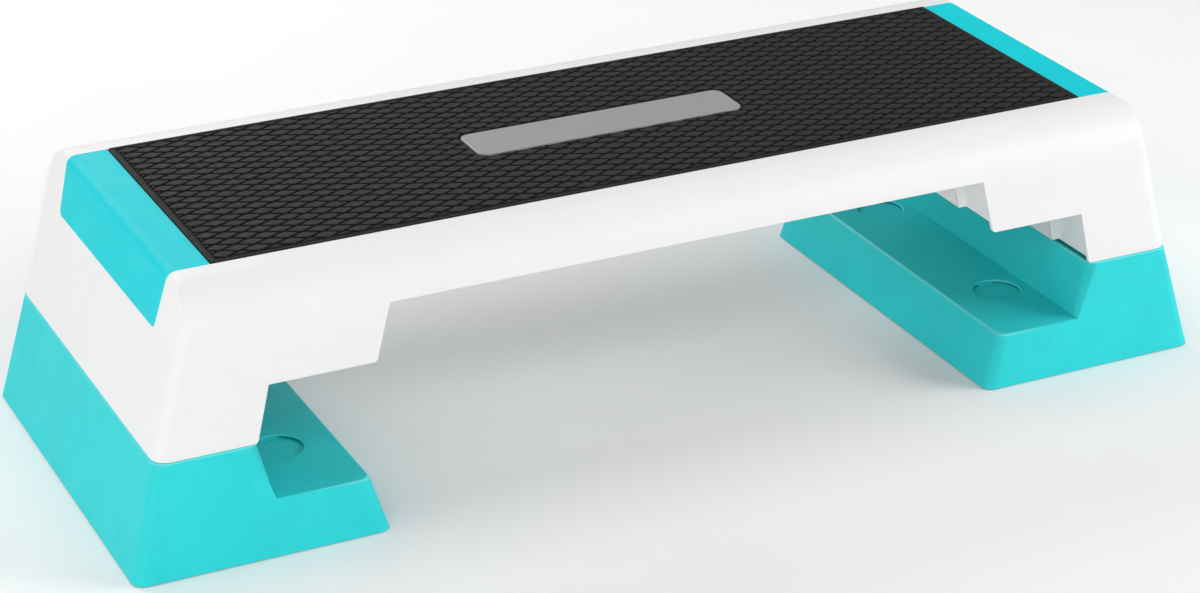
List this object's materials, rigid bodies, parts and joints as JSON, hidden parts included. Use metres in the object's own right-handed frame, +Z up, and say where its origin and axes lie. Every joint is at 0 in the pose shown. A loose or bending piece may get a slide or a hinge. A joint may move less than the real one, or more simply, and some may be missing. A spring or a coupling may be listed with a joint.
{
  "type": "aerobic step platform",
  "caption": "Aerobic step platform: a white moulded deck with a lozenge-patterned rubber tread and coloured end caps, standing on stepped risers that lift off.",
  "frame": {"origin": "on the floor, under the centre of the platform", "axes": "+X along the length, to the right seen from the front; +Z up; -Y towards the front"},
  "size_m": [1.08, 0.416, 0.257],
  "materials": {
    "deck_white": "fine moulded texture, satin",
    "cap_turquoise": "smooth satin",
    "riser_turquoise": "fine blasted texture, matt",
    "tread_rubber": "matt, lozenge tread",
    "plate_grey": "smooth satin",
    "foot_rubber": "matt"
  },
  "bodies": {
    "left_riser": {"riser_left": "riser_turquoise", "riser_foot_left_outer_front": "foot_rubber", "riser_foot_left_outer_rear": "foot_rubber", "riser_foot_left_inner_front": "foot_rubber", "riser_foot_left_inner_rear": "foot_rubber"},
    "deck": {"deck_shell": "deck_white", "tread_mat": "tread_rubber", "centre_plate": "plate_grey", "end_cap_left": "cap_turquoise", "end_cap_right": "cap_turquoise", "deck_foot_left_front": "foot_rubber", "deck_foot_left_rear": "foot_rubber", "deck_foot_right_front": "foot_rubber", "deck_foot_right_rear": "foot_rubber"},
    "right_riser": {"riser_right": "riser_turquoise", "riser_foot_right_outer_front": "foot_rubber", "riser_foot_right_outer_rear": "foot_rubber", "riser_foot_right_inner_front": "foot_rubber", "riser_foot_right_inner_rear": "foot_rubber"}
  },
  "joints": [
    {"name": "deck_lift", "type": "slide", "parent": "left_riser", "child": "deck", "axis": [0, 0, 1], "range_m": [0, 0.12]},
    {"name": "riser_right_release", "type": "slide", "parent": "deck", "child": "right_riser", "axis": [0, 0, -1], "range_m": [0, 0.12]}
  ],
  "couplings": [
    {"joint": "riser_right_release", "follows": "deck_lift", "ratio": 1}
  ]
}
